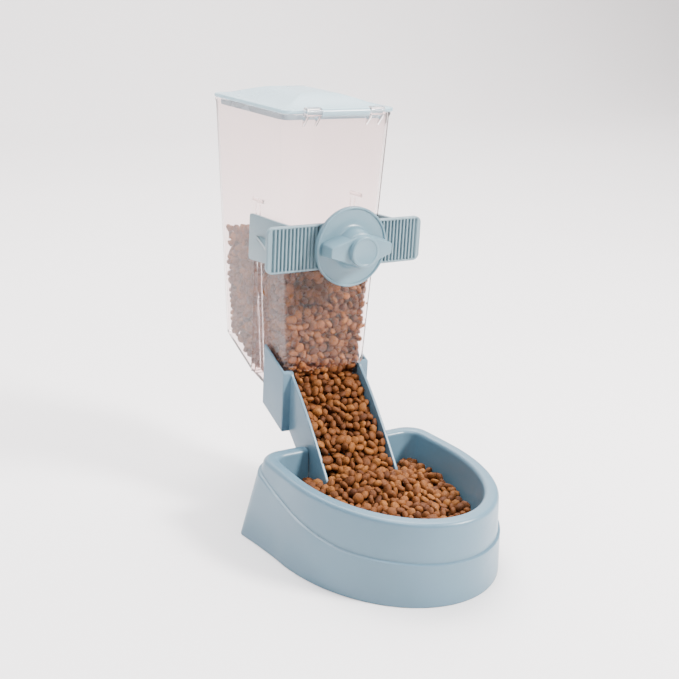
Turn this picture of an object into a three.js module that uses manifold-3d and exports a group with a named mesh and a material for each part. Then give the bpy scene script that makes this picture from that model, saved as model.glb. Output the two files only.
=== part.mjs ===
// Cage-hung gravity feeder for small livestock.
//
// A clear tapered hopper with a hinged lid hangs behind a wire panel. A ribbed
// plate and a wing nut grip the wires between them. Feed runs down a sloping
// chute, through the wires, into a bowl in front of the panel.
//
// Millimetres. +X runs along the panel, +Y points away from the bowl, +Z is up.
// The origin is on the clamp bolt's axis, in the middle plane of the wires.

import * as THREE from 'three';
import * as BufferGeometryUtils from 'three/addons/utils/BufferGeometryUtils.js';
import Module from 'manifold-3d';

const wasm = await Module();
wasm.setup();

// ---- driving dimensions --------------------------------------------------

const GAP = 0.3; // clearance between pieces that touch

// hopper
const HOPPER_TOP = 79; // rim height
const HOPPER_FRONT = 15.2; // outer face of the front wall
const HOPPER_REAR_TOP = 109.6; // outer face of the rear wall at the rim
const HOPPER_HALF_TOP = 39.6; // half width at the rim
const GATE_TOP = -85; // lower edge of the front wall
const HOPPER_HALF_GATE = 29.6; // half width at that edge
const REAR_TAPER = 0.03; // rear wall lean, mm per mm of height
const HOPPER_WALL = 2;
const HOPPER_LOW = -112; // lowest level of the tapered block before it is trimmed
const OUTLET_REAR = 43; // rear edge of the outlet in the floor
const OUTLET_FRONT = 20; // front edge of the outlet's side walls

// guide rails on the hopper's sides
const RAIL_FACE = 36;
const RAIL_REAR = 55;
const RAIL_FRONT = 48.5;
const RAIL_TOP = 20;
const RAIL_LOW = -95;

// lid and its hinge
const HINGE_Y = 11.2;
const HINGE_Z = 80.6;
const KNUCKLE_R = 3.2;
const PIN_R = 1.5;
const EAR_IN = 17.6;
const EAR_OUT = 28;
const LID_HALF = 40.4;
const LID_FRONT = 14.9;
const LID_REAR = 111;
const LID_PLATE = 2.6;
const LID_CROWN = 6.6;

// bracket
const PLATE_FACE = 1.4; // rib tops, which press on the wires
const PLATE_THICK = 3.2;
const PLATE_HALF = 56.2;
const PLATE_HALF_HEIGHT = 14.5;
const PLATE_CORNER = 3.6;
const PLATE_BORDER = 3.6; // plain margin at the plate's ends
const RIB_PITCH = 2.6;
const RIB_WIDTH = 1.4;
const RIB_DEPTH = 0.8;
const ARM_IN = 36.3;
const ARM_OUT = 38.7;
const ARM_REAR = 57.7;
const WEB_REAR = 48.5;
const WEB_THICK = 2;

// clamp bolt and wing nut
const BOLT_R = 4;
const BOLT_HEAD_R = 8;
const BOLT_HEAD_THICK = 3;
const BOLT_TIP = -17;
const DISC_BACK = -1.6;
const DISC_FRONT = -4.9;
const DISC_R = 25.2;
const DISC_RIM = 1.4;
const BOSS_CAP = -20.7;
const BOSS_CAP_R = 9.6;
const BOSS_BASE_R = 12.5;
const WING_REACH = 22.2;

// chute
const CHUTE_HALF = 27;
const CHUTE_WALL = 2;
const COLLAR_HALF = 32.6;
const COLLAR_WALL = 1.7;
const COLLAR_FRONT = 17.5;
const COLLAR_REAR = 43.5;

// bowl
const RIM_Z = -128;
const RIM_THICK = 3;
const RIM_WIDTH = 8;
const BASE_Z = -179.5;
const BOWL_REAR = -1.5;
const BOWL_FRONT = -137;
const RIM_HALF = 62.5;
const BASE_HALF = 68.2;
const STEP_Z = -150; // level of the small ledge round the skirt
const STEP_OUT = 0.8;
const BOWL_WALL = 2;
const TUB_FLOOR = -172;
const NOTCH_HALF = 28.2;
const NOTCH_LOW = -159.5;

// ---- solid helpers -------------------------------------------------------

// Sends local X, Y, Z to the row's Y, Z, X.
const TURN_TO_X = new THREE.Matrix4().set(0, 0, 1, 0, 1, 0, 0, 0, 0, 1, 0, 0, 0, 0, 0, 1);

// A closed BufferGeometry as a manifold solid.
function solid(geometry) {
  const bare = geometry.clone();
  bare.deleteAttribute('normal');
  bare.deleteAttribute('uv');
  const merged = BufferGeometryUtils.mergeVertices(bare, 1e-4);
  return new wasm.Manifold(new wasm.Mesh({
    numProp: 3,
    vertProperties: new Float32Array(merged.attributes.position.array),
    triVerts: new Uint32Array(merged.index.array),
  }));
}

// A manifold solid as a BufferGeometry with flat faces.
function geometryOf(body) {
  const mesh = body.getMesh();
  const geometry = new THREE.BufferGeometry();
  const points = new Float32Array(mesh.vertProperties);
  geometry.setAttribute('position', new THREE.BufferAttribute(points, 3));
  geometry.setIndex(new THREE.BufferAttribute(new Uint32Array(mesh.triVerts), 1));
  return geometry;
}

// Box between two corners.
function box(low, high) {
  const size = high.map((value, i) => value - low[i]);
  const geometry = new THREE.BoxGeometry(...size);
  geometry.translate(...low.map((value, i) => value + size[i] / 2));
  return solid(geometry);
}

// Outline in the YZ plane, carried along X from x0 to x1.
function prismX(outline, x0, x1) {
  const shape = new THREE.Shape(outline.map(([y, z]) => new THREE.Vector2(y, z)));
  const geometry = new THREE.ExtrudeGeometry(shape, { depth: x1 - x0, bevelEnabled: false });
  geometry.translate(0, 0, x0);
  geometry.applyMatrix4(TURN_TO_X);
  return solid(geometry);
}

// Outline in the XY plane, carried up Z from z0 to z1.
function prismZ(outline, z0, z1) {
  const shape = new THREE.Shape(outline.map(([x, y]) => new THREE.Vector2(x, y)));
  const geometry = new THREE.ExtrudeGeometry(shape, { depth: z1 - z0, bevelEnabled: false });
  geometry.translate(0, 0, z0);
  return solid(geometry);
}

// Profile of [radius, y] pairs turned about the Y axis.
function turnedY(profile, segments = 40) {
  const points = profile.map(([radius, y]) => new THREE.Vector2(radius, y));
  return solid(new THREE.LatheGeometry(points, segments));
}

// Round bar along X.
function barX(radius, x0, x1, y, z, segments = 20) {
  const geometry = new THREE.CylinderGeometry(radius, radius, x1 - x0, segments);
  geometry.rotateZ(Math.PI / 2);
  geometry.translate((x0 + x1) / 2, y, z);
  return solid(geometry);
}

// Rings of equal point count, lowest first, skinned into one closed surface.
function loftGeometry(rings) {
  const count = rings[0].points.length;
  const positions = rings.flatMap(({ points, z }) => points.flatMap(([x, y]) => [x, y, z]));
  const faces = [];
  for (let level = 0; level < rings.length - 1; level += 1) {
    for (let i = 0; i < count; i += 1) {
      const a = level * count + i;
      const b = level * count + (i + 1) % count;
      faces.push(a, b, b + count, a, b + count, a + count);
    }
  }
  const cap = THREE.ShapeUtils.triangulateShape(
    rings[0].points.map(([x, y]) => new THREE.Vector2(x, y)), []);
  const top = (rings.length - 1) * count;
  for (const [a, b, c] of cap) {
    faces.push(a, c, b, top + a, top + b, top + c);
  }
  const geometry = new THREE.BufferGeometry();
  geometry.setAttribute('position', new THREE.Float32BufferAttribute(positions, 3));
  geometry.setIndex(faces);
  return geometry;
}

function loft(rings) {
  return solid(loftGeometry(rings));
}

// The same skin with rings of [y, z] points at successive x.
function loftX(rings) {
  const upright = loftGeometry(rings.map(({ points, x }) => ({ points, z: x })));
  upright.applyMatrix4(TURN_TO_X);
  return solid(upright);
}

// Rectangle with round corners, anticlockwise.
function roundedRect(x0, y0, x1, y1, radius, steps = 4) {
  const corners = [[x1 - radius, y0 + radius, -90], [x1 - radius, y1 - radius, 0],
    [x0 + radius, y1 - radius, 90], [x0 + radius, y0 + radius, 180]];
  return corners.flatMap(([x, y, start]) => Array.from({ length: steps + 1 }, (_, i) => {
    const angle = THREE.MathUtils.degToRad(start + 90 * i / steps);
    return [x + radius * Math.cos(angle), y + radius * Math.sin(angle)];
  }));
}

function union(...bodies) {
  return bodies.reduce((whole, body) => whole.add(body));
}

// The same body and its mirror image across the x = 0 plane.
function bothSides(make) {
  return make(1).add(make(-1));
}

// ---- hopper --------------------------------------------------------------

function hopperHalf(z) {
  const slope = (HOPPER_HALF_TOP - HOPPER_HALF_GATE) / (HOPPER_TOP - GATE_TOP);
  return HOPPER_HALF_GATE + (z - GATE_TOP) * slope;
}

function hopperRing(z, inset) {
  const half = hopperHalf(z) - inset;
  const rear = HOPPER_REAR_TOP - (HOPPER_TOP - z) * REAR_TAPER - inset;
  return { points: roundedRect(-half, HOPPER_FRONT + inset, half, rear, 4 - inset), z };
}

// Everything under the sloping floor, raised by the given amount.
function belowFloor(lift) {
  return prismX([[130, -150], [130, -68.5 + lift], [103, -81.9 + lift], [68.4, -99.3 + lift],
    [57, -102 + lift], [OUTLET_REAR, -105.5 + lift], [OUTLET_REAR, -150]], -60, 60);
}

function makeHopper() {
  const outer = loft([hopperRing(HOPPER_LOW, 0), hopperRing(HOPPER_TOP, 0)])
    .subtract(belowFloor(0))
    .subtract(prismX([[0, -150], [50, -150], [50, -105.5], [0, -108.5]], -60, 60));
  const inner = loft([
    hopperRing(HOPPER_LOW - 1, HOPPER_WALL),
    hopperRing(HOPPER_TOP + 1, HOPPER_WALL),
  ]).subtract(belowFloor(HOPPER_WALL));
  const gate = box([-40, 0, -130], [40, OUTLET_FRONT, GATE_TOP]);
  const rail = (side) => {
    const xs = [side * 25, side * RAIL_FACE];
    const bar = box([Math.min(...xs), RAIL_FRONT, RAIL_LOW], [Math.max(...xs), RAIL_REAR, RAIL_TOP]);
    const stop = box([Math.min(side * 30, side * 37.6), RAIL_FRONT - 6, RAIL_TOP],
      [Math.max(side * 30, side * 37.6), RAIL_REAR + 1.5, RAIL_TOP + 2.4]);
    return bar.add(stop);
  };
  const ear = (side) => {
    const xs = [side * EAR_IN, side * EAR_OUT];
    const knuckle = barX(KNUCKLE_R, Math.min(...xs), Math.max(...xs), HINGE_Y, HINGE_Z);
    const gussets = [EAR_IN, (EAR_IN + EAR_OUT) / 2 - 0.8, EAR_OUT - 1.6].map((x) => prismX(
      [[HINGE_Y - 2.6, HINGE_Z - 1], [HOPPER_FRONT + 0.5, HINGE_Z - 8.5],
        [HOPPER_FRONT + 0.5, HINGE_Z - 1.9]],
      side > 0 ? x : -x - 1.6, side > 0 ? x + 1.6 : -x));
    return union(knuckle, ...gussets);
  };
  const bores = barX(PIN_R + GAP, -60, 60, HINGE_Y, HINGE_Z);
  return outer.add(bothSides(rail)).subtract(inner).subtract(gate)
    .add(bothSides(ear)).subtract(bores);
}

// ---- lid -----------------------------------------------------------------

function makeLid() {
  const low = HOPPER_TOP + GAP;
  const high = low + LID_PLATE;
  const sheet = (inset, z) => ({
    points: roundedRect(-LID_HALF + inset, LID_FRONT + inset, LID_HALF - inset,
      LID_REAR - inset, Math.max(5 - inset / 3, 1.5)),
    z,
  });
  const outside = loft([sheet(0, low), sheet(0, high - 0.6), sheet(0.6, high),
    sheet(6, high + LID_CROWN * 0.6), sheet(13, high + LID_CROWN * 0.9),
    sheet(22, high + LID_CROWN)]);
  const hollow = loft([sheet(4, low - 1), sheet(4, low), sheet(8, low + LID_CROWN * 0.6),
    sheet(15, low + LID_CROWN * 0.9), sheet(22, low + LID_CROWN)]);
  const lipOut = roundedRect(-36.4, HOPPER_FRONT + 6, 36.4, 106.4, 3);
  const lipIn = roundedRect(-34.9, HOPPER_FRONT - 4, 34.9, 104.9, 1.5);
  const lip = prismZ(lipOut, low - 4, low + 1.5).subtract(prismZ(lipIn, low - 5, low + 2));
  const sealedLip = lip.subtract(box([-34.9, 0, low - 6], [34.9, 60, low + 2]));
  const knuckle = barX(KNUCKLE_R - 0.4, -EAR_IN + GAP, EAR_IN - GAP, HINGE_Y, HINGE_Z);
  const web = box([-EAR_IN + GAP, HINGE_Y, HINGE_Z - 1.2], [EAR_IN - GAP, LID_FRONT + 2, HINGE_Z + 1.3]);
  const pin = barX(PIN_R, -EAR_OUT + 1, EAR_OUT - 1, HINGE_Y, HINGE_Z);
  return outside.subtract(hollow).add(sealedLip).add(union(knuckle, web, pin));
}

// ---- bracket -------------------------------------------------------------

function makeBracket() {
  const outline = roundedRect(-PLATE_HALF, -PLATE_HALF_HEIGHT, PLATE_HALF, PLATE_HALF_HEIGHT,
    PLATE_CORNER);
  const slab = new THREE.ExtrudeGeometry(
    new THREE.Shape(outline.map(([x, z]) => new THREE.Vector2(x, z))),
    { depth: PLATE_THICK, bevelEnabled: false });
  slab.rotateX(Math.PI / 2);
  slab.translate(0, PLATE_FACE + PLATE_THICK, 0);
  const grooves = [];
  const end = PLATE_HALF - PLATE_BORDER;
  for (let x = -end; x + RIB_PITCH - RIB_WIDTH <= end + 0.01; x += RIB_PITCH) {
    grooves.push(box([x, 0, 1.2 - PLATE_HALF_HEIGHT],
      [x + RIB_PITCH - RIB_WIDTH, PLATE_FACE + RIB_DEPTH, PLATE_HALF_HEIGHT - 1.2]));
  }
  const back = PLATE_FACE + PLATE_THICK;
  const armOutline = [[back - 1, -15], [24, -15.6], [ARM_REAR, -18.6], [ARM_REAR, 11.6], [24, 12.6],
    [back - 1, 13.6]];
  const arm = (side) => prismX(armOutline, Math.min(side * ARM_IN, side * ARM_OUT),
    Math.max(side * ARM_IN, side * ARM_OUT));
  const keeper = (y0, y1) => (side) => box([Math.min(side * 34.9, side * ARM_OUT), y0, -18],
    [Math.max(side * 34.9, side * ARM_OUT), y1, -4]);
  const web = (side) => {
    const points = [[side * (ARM_OUT - 0.5), back - 1], [side * (PLATE_HALF - 2), back - 1],
      [side * (PLATE_HALF - 2), back + 1.5], [side * (ARM_OUT - 0.5), WEB_REAR]];
    return prismZ(side > 0 ? points : points.reverse(), -2 - WEB_THICK / 2, -2 + WEB_THICK / 2);
  };
  const hole = turnedY([[0, -5], [BOLT_R + GAP, -5], [BOLT_R + GAP, 20], [0, 20]], 32);
  const body = union(solid(slab), bothSides(arm), bothSides(keeper(RAIL_REAR + GAP, ARM_REAR)),
    bothSides(keeper(RAIL_FRONT - 2.4, RAIL_FRONT - GAP)), bothSides(web));
  return body.subtract(union(...grooves)).subtract(hole);
}

// ---- clamp bolt and wing nut ---------------------------------------------

function makeClampBolt() {
  const seat = PLATE_FACE + PLATE_THICK + GAP;
  const profile = [[0, BOLT_TIP], [BOLT_R - 1, BOLT_TIP], [BOLT_R, BOLT_TIP + 1.2], [BOLT_R, seat],
    [BOLT_HEAD_R, seat], [BOLT_HEAD_R, seat + BOLT_HEAD_THICK - 0.8],
    [BOLT_HEAD_R - 0.8, seat + BOLT_HEAD_THICK], [0, seat + BOLT_HEAD_THICK]];
  return turnedY(profile, 32);
}

function makeWingNut() {
  const disc = turnedY([[0, DISC_FRONT], [DISC_R - DISC_RIM - 0.3, DISC_FRONT],
    [DISC_R - DISC_RIM, DISC_FRONT - 0.7], [DISC_R - 0.5, DISC_FRONT - 0.7], [DISC_R, DISC_FRONT - 0.2],
    [DISC_R, DISC_BACK - 0.4], [DISC_R - 0.4, DISC_BACK], [0, DISC_BACK]], 64);
  const boss = turnedY([[0, BOSS_CAP], [BOSS_CAP_R - 0.8, BOSS_CAP], [BOSS_CAP_R, BOSS_CAP + 0.8],
    [BOSS_BASE_R - 1.4, DISC_FRONT - 3], [BOSS_BASE_R, DISC_FRONT + 0.5], [0, DISC_FRONT + 0.5]], 40);
  const sections = [[2, 9, BOSS_CAP + 0.4], [10, 8.2, BOSS_CAP + 1.3], [17, 5.4, BOSS_CAP + 2.6],
    [WING_REACH, 3.2, BOSS_CAP + 3.7]];
  const blade = loftX(sections.map(([x, half, front]) => ({
    x,
    points: [[DISC_FRONT + 0.5, -half], [DISC_FRONT + 0.5, half], [(front + DISC_FRONT) / 2, half],
      [front, half * 0.72], [front, -half * 0.72], [(front + DISC_FRONT) / 2, -half]],
  })));
  const bore = turnedY([[0, BOLT_TIP - GAP], [BOLT_R + GAP, BOLT_TIP - GAP], [BOLT_R + GAP, 5],
    [0, 5]], 32);
  return union(disc, boss, blade, blade.rotate([0, 180, 0])).subtract(bore);
}

// ---- chute ---------------------------------------------------------------

// Underside of the chute and collar, from the back of the collar to the lip.
const CHUTE_UNDER = [[COLLAR_REAR, -114], [COLLAR_FRONT, -125.3], [8, -134], [-2, -144], [-12, -152.5],
  [-24, -160], [-33, -164]];

// Upper edge of the chute's side walls: a curve that steepens towards the bowl.
function wallTop() {
  const curve = new THREE.QuadraticBezierCurve(
    new THREE.Vector2(19, -86), new THREE.Vector2(-4.75, -106.5), new THREE.Vector2(-31.5, -143));
  return curve.getPoints(8).map((point) => [point.x, point.y]);
}

function makeChute() {
  const under = CHUTE_UNDER.slice(1);
  const side = [...wallTop(), [-33, -150], [-33.8, -157], ...under.toReversed()];
  const trough = prismX(side, -CHUTE_HALF, CHUTE_HALF);
  const collar = prismX([[COLLAR_FRONT, -85.3], [COLLAR_REAR, -73.2], CHUTE_UNDER[0], CHUTE_UNDER[1]],
    -COLLAR_HALF, COLLAR_HALF);
  const floor = CHUTE_UNDER.map(([y, z]) => [y, z + 2]);
  const channel = prismX([[22, -60], [22, -121.3], ...floor.slice(1, -1), [-45, -167], [-45, -60]],
    CHUTE_WALL - CHUTE_HALF, CHUTE_HALF - CHUTE_WALL);
  const sill = box([COLLAR_WALL - COLLAR_HALF, 0, GATE_TOP - GAP],
    [COLLAR_HALF - COLLAR_WALL, 30, -50]);
  const pocket = prismX([[COLLAR_FRONT + 2, -50], [COLLAR_FRONT + 2, -122.4], [COLLAR_REAR - 1.7, -112.7],
    [COLLAR_REAR - 1.7, -107.8], [60, -107.8], [60, -50]],
  COLLAR_WALL - COLLAR_HALF, COLLAR_HALF - COLLAR_WALL);
  const lug = (at) => box([Math.min(at * 26.5, at * 33), -7.4, -136],
    [Math.max(at * 26.5, at * 33), -4.2, RIM_Z - RIM_THICK - GAP]);
  return trough.add(collar.subtract(sill)).subtract(channel).subtract(pocket).add(bothSides(lug));
}

// ---- bowl ----------------------------------------------------------------

// D-shaped plan: straight at the back, half an ellipse in front, anticlockwise.
function bowlPlan(half, rear, front, corner) {
  const widest = -48;
  const quarter = Array.from({ length: 13 }, (_, i) => {
    const angle = Math.PI / 2 * (i / 12 - 1);
    return [half * Math.cos(angle), widest + (widest - front) * Math.sin(angle)];
  });
  const shoulder = Array.from({ length: 6 }, (_, i) => {
    const angle = Math.PI / 2 * i / 5;
    return [half * 0.975 - corner + corner * Math.cos(angle), rear - corner + corner * Math.sin(angle)];
  });
  const right = [...quarter, ...shoulder];
  const left = right.slice(1).toReversed().map(([x, y]) => [-x, y]);
  return [...right, ...left];
}

// Outer skin of the skirt at a level, drawn in by an inset.
function skirtRing(z, inset) {
  const share = (RIM_Z - z) / (RIM_Z - BASE_Z);
  const half = RIM_HALF + (BASE_HALF - RIM_HALF) * share;
  const corner = 14 - 8.5 * share - inset / 2;
  return { points: bowlPlan(half - inset, BOWL_REAR - inset, BOWL_FRONT + inset, corner), z };
}

// Inner skin of the tub, spread by an outset.
function tubRing(z, outset) {
  const share = (RIM_Z - z) / (RIM_Z - TUB_FLOOR);
  const half = RIM_HALF - RIM_WIDTH - 4.5 * share + outset;
  const rear = BOWL_REAR - RIM_WIDTH - 3 * share + outset;
  const front = BOWL_FRONT + RIM_WIDTH + 1.5 + 4.5 * share - outset;
  return { points: bowlPlan(half, rear, front, 9 + outset / 2), z };
}

function makeBowl() {
  const skirt = loft([skirtRing(BASE_Z, -STEP_OUT), skirtRing(STEP_Z, -STEP_OUT),
    skirtRing(STEP_Z + STEP_OUT, 0), skirtRing(RIM_Z - 1.5, 0), skirtRing(RIM_Z, 1.5)]);
  const underRim = RIM_Z - RIM_THICK;
  const hollow = loft([skirtRing(BASE_Z - 1, BOWL_WALL - STEP_OUT),
    skirtRing(STEP_Z - BOWL_WALL, BOWL_WALL - STEP_OUT), skirtRing(STEP_Z - 1, BOWL_WALL),
    skirtRing(underRim, BOWL_WALL)]);
  const tub = loft([tubRing(TUB_FLOOR - BOWL_WALL, BOWL_WALL), tubRing(underRim + 0.5, BOWL_WALL)]);
  const well = loft([tubRing(TUB_FLOOR, 0), tubRing(RIM_Z - 1.5, 0), tubRing(RIM_Z + 0.1, 1.6)]);
  const notch = box([-NOTCH_HALF, BOWL_REAR - RIM_WIDTH - 6, NOTCH_LOW], [NOTCH_HALF, 5, RIM_Z + 5]);
  return skirt.subtract(hollow).add(tub).subtract(well).subtract(notch);
}

// ---- assembly ------------------------------------------------------------

const group = new THREE.Group();

function addPart(name, body, color, roughness) {
  const material = new THREE.MeshStandardMaterial({ color, roughness, metalness: 0 });
  const mesh = new THREE.Mesh(geometryOf(body), material);
  mesh.name = name;
  group.add(mesh);
}

addPart('hopper', makeHopper(), 0xe6dcdc, 0.15);
addPart('lid', makeLid(), 0xbfd0d8, 0.35);
addPart('bracket', makeBracket(), 0x98aab4, 0.4);
addPart('clamp_bolt', makeClampBolt(), 0x98aab4, 0.45);
addPart('wing_nut', makeWingNut(), 0xa5bac2, 0.35);
addPart('chute', makeChute(), 0x93a6b6, 0.35);
addPart('bowl', makeBowl(), 0x9db1bd, 0.35);

export default group;
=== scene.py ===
# %% [markdown]
# # A cage-hung gravity feeder
#
# The feeder is seven mouldings: a clear hopper, its lid, a ribbed clamp plate with
# two arms, a bolt, a wing nut, a chute and a bowl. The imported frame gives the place
# and overall size of each, and each piece below is a finished surface that stands
# for one CAD node and rides on its body. The frame's axes: +X runs along the wire
# panel, +Y points to the hopper side, +Z is up, and the origin is on the bolt's axis.

import math

import bmesh
import bpy
import numpy as np
from mathutils import Matrix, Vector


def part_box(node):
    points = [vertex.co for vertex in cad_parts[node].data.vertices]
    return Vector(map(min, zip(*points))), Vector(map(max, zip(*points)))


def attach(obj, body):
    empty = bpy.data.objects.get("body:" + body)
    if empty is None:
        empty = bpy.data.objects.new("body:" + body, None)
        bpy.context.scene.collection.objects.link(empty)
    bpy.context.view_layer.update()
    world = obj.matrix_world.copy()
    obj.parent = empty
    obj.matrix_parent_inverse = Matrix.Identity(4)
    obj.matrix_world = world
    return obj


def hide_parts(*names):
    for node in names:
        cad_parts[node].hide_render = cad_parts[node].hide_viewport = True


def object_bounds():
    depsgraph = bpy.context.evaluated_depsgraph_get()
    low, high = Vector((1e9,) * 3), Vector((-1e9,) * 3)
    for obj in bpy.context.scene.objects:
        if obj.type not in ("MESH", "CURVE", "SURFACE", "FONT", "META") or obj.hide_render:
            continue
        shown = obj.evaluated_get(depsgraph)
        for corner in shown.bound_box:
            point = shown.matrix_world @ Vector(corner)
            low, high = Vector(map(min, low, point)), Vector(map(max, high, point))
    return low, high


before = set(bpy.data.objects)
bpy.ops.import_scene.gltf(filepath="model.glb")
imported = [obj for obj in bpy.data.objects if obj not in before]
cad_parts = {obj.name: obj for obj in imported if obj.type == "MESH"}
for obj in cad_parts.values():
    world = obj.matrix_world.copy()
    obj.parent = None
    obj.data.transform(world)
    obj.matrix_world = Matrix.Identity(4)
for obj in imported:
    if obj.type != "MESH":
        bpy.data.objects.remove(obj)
cad_box = [list(corner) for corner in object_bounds()]
print("CAD box, metres:", cad_box)

MM = 0.001
TAU = 2 * math.pi


# %% [markdown]
# ## Reading sizes from the frame
#
# The solids are in metres, and a moulding is easier to describe in millimetres, so
# one helper gives a node's box in millimetres. The pieces take their outermost
# heights and widths from these corners; slopes, walls and small details are numbers
# of their own, named where they are first used.

# %% Node boxes in millimetres
def box_mm(node):
    """Lowest and highest corner of a CAD node, in millimetres."""
    low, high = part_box(node)
    return np.array(low) / MM, np.array(high) / MM


BOXES = {node: box_mm(node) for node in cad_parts}
for node, (low, high) in BOXES.items():
    print(node, np.round(low, 1), np.round(high, 1))


# %% [markdown]
# ## Surfaces from grids
#
# Every piece is one or more grids of points. A grid has rows and columns; its
# columns close on themselves when it is a tube, and its rows close too when it is a
# ring-shaped wall. Building whole arrays with numpy keeps each shape one formula.
# `build` joins the grids into a mesh, merges what coincides at seams and poles, and
# turns every face outwards.

# %% Grid faces and the piece builder
def quads(rows, columns, first, close_rows):
    """Faces of a grid whose columns wrap: each point, its right neighbour, and the two above."""
    strips = rows if close_rows else rows - 1
    row, column = np.meshgrid(np.arange(strips), np.arange(columns), indexing="ij")
    right, above = (column + 1) % columns, (row + 1) % rows
    corners = ((row, column), (row, right), (above, right), (above, column))
    return np.stack([first + r * columns + c for r, c in corners], axis=-1).reshape(-1, 4).tolist()


def build(name, shells, material, body, node=None, sharp=38):
    """One mesh from grids given as (points in mm, "caps", "ring" or "open")."""
    points, faces, first = [], [], 0
    for grid, ends in shells:
        rows, columns = grid.shape[:2]
        points.append(grid.reshape(-1, 3))
        faces += quads(rows, columns, first, ends == "ring")
        if ends == "caps":
            faces.append(list(range(first + columns - 1, first - 1, -1)))
            faces.append(list(range(first + (rows - 1) * columns, first + rows * columns)))
        first += rows * columns
    mesh = bpy.data.meshes.new(name)
    mesh.from_pydata((np.concatenate(points) * MM).tolist(), [], faces)
    work = bmesh.new()
    work.from_mesh(mesh)
    bmesh.ops.remove_doubles(work, verts=work.verts, dist=1e-6)
    bmesh.ops.dissolve_degenerate(work, edges=work.edges, dist=1e-6)
    bmesh.ops.recalc_face_normals(work, faces=work.faces)
    work.to_mesh(mesh)
    work.free()
    mesh.polygons.foreach_set("use_smooth", np.ones(len(mesh.polygons), dtype=bool))
    mesh.set_sharp_from_angle(angle=math.radians(sharp))
    mesh.materials.append(material)
    piece = bpy.data.objects.new(name, mesh)
    bpy.context.scene.collection.objects.link(piece)
    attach(piece, body)
    if node:
        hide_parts(node)
    print(name, len(mesh.vertices), "points,", len(mesh.polygons), "faces")
    return piece


# %% [markdown]
# ## Soft corners
#
# Moulded plastic has no knife edges: every edge has a small radius that catches the
# light. `soften` rounds each corner of an outline with a short curve, `inset` draws
# an outline in, and `slab` uses both to make a plate whose outline and faces meet
# in rounded edges. `lathe` turns a profile about the X or Y axis, `mirrored` makes
# the other hand of a piece, and `station` gives flat sections their third coordinate.

# %% Outline helpers
def soften(outline, radius, steps=4):
    """Each corner p becomes the curve (1-t)^2 a + 2t(1-t) p + t^2 b, a and b being on its edges."""
    before = np.roll(outline, 1, axis=-2) - outline
    after = np.roll(outline, -1, axis=-2) - outline
    reach = []
    for side in (before, after):
        length = np.linalg.norm(side, axis=-1, keepdims=True)
        reach.append(outline + side * np.minimum(radius / np.maximum(length, 1e-9), 0.46))
    t = np.linspace(0, 1, steps + 1)[:, None]
    start, corner, end = reach[0][..., None, :], outline[..., None, :], reach[1][..., None, :]
    curve = (1 - t) ** 2 * start + 2 * t * (1 - t) * corner + t ** 2 * end
    return curve.reshape(*outline.shape[:-2], -1, outline.shape[-1])


def inset(outline, depth):
    """Flat outline moved inwards by depth along the mitre of each corner."""
    edge = np.roll(outline, -1, axis=0) - outline
    length = np.linalg.norm(edge, axis=1, keepdims=True)
    normal = np.stack([-edge[:, 1], edge[:, 0]], axis=1) / length
    last = np.roll(normal, 1, axis=0)
    return outline + depth * (normal + last) / (1 + np.sum(normal * last, axis=1, keepdims=True))


ORDER = {"x": [2, 0, 1], "y": [0, 2, 1], "z": [0, 1, 2]}


def slab(outline, low, high, axis, corner=1.0, edge=0.35):
    """A plate: the outline carried from low to high, its face edges rounded by a quarter circle."""
    flat = soften(np.array(outline, dtype=float), corner)
    turn = np.linspace(0, math.pi / 2, 4)
    depth, rise = edge * (1 - np.sin(turn)), edge * (1 - np.cos(turn))
    levels = np.concatenate([low + rise, high - rise[::-1]])
    insets = np.concatenate([depth, depth[::-1]])
    rows = [np.column_stack([inset(flat, d), np.full(len(flat), level)])
            for d, level in zip(insets, levels)]
    return np.array(rows)[:, :, ORDER[axis]]


def block(low, high, corner=0.8, edge=0.35):
    """A rounded box between two corners."""
    (x0, y0, z0), (x1, y1, z1) = low, high
    return slab([(x0, y0), (x1, y0), (x1, y1), (x0, y1)], z0, z1, "z", corner, edge)


def lathe(profile, axis, centre=(0, 0, 0), columns=72):
    """Profile of (radius, height) turned: height along the axis, radius cosine and sine across."""
    radius, height = np.array(profile, dtype=float).T[:, :, None]
    angle = np.linspace(0, TAU, columns, endpoint=False)
    a, b, along = radius * np.cos(angle), radius * np.sin(angle), height + 0 * angle
    parts = [along, a, b] if axis == "x" else [a, along, b]
    return np.stack(parts, axis=-1) + np.array(centre, dtype=float)


def mirrored(grid):
    """The same grid on the other side of x = 0."""
    return grid * np.array([-1.0, 1.0, 1.0])


def station(place, section):
    """A coordinate for every point of each section: the place where that section stands."""
    return np.broadcast_to(place[:, None, None], (*section.shape[:2], 1))


# %% [markdown]
# ## Moulded plastic
#
# The opaque pieces are the same pale blue-grey plastic. Real mouldings are not one
# flat colour: the pigment is faintly uneven, the surface has a fine orange-peel
# texture from the tool, and it is a little glossier in patches where hands polish
# it. A thin clear coat gives the soft highlight along the rims. The plate is the
# palest and has the coarsest grain, and the knob is a little paler than the bowl.

# %% Opaque plastic
def noise(tree, coords, scale, detail=3.0):
    """A noise texture on Object coordinates."""
    node = tree.nodes.new("ShaderNodeTexNoise")
    node.inputs["Scale"].default_value = scale
    node.inputs["Detail"].default_value = detail
    tree.links.new(coords.outputs["Object"], node.inputs["Vector"])
    return node


def ramp(tree, source, stops):
    """A colour ramp on a socket, with (position, colour) stops."""
    node = tree.nodes.new("ShaderNodeValToRGB")
    for element, (position, colour) in zip(node.color_ramp.elements, (stops[0], stops[-1])):
        element.position, element.color = position, (*colour, 1)
    for position, colour in stops[1:-1]:
        node.color_ramp.elements.new(position).color = (*colour, 1)
    tree.links.new(source, node.inputs["Fac"])
    return node


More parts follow.
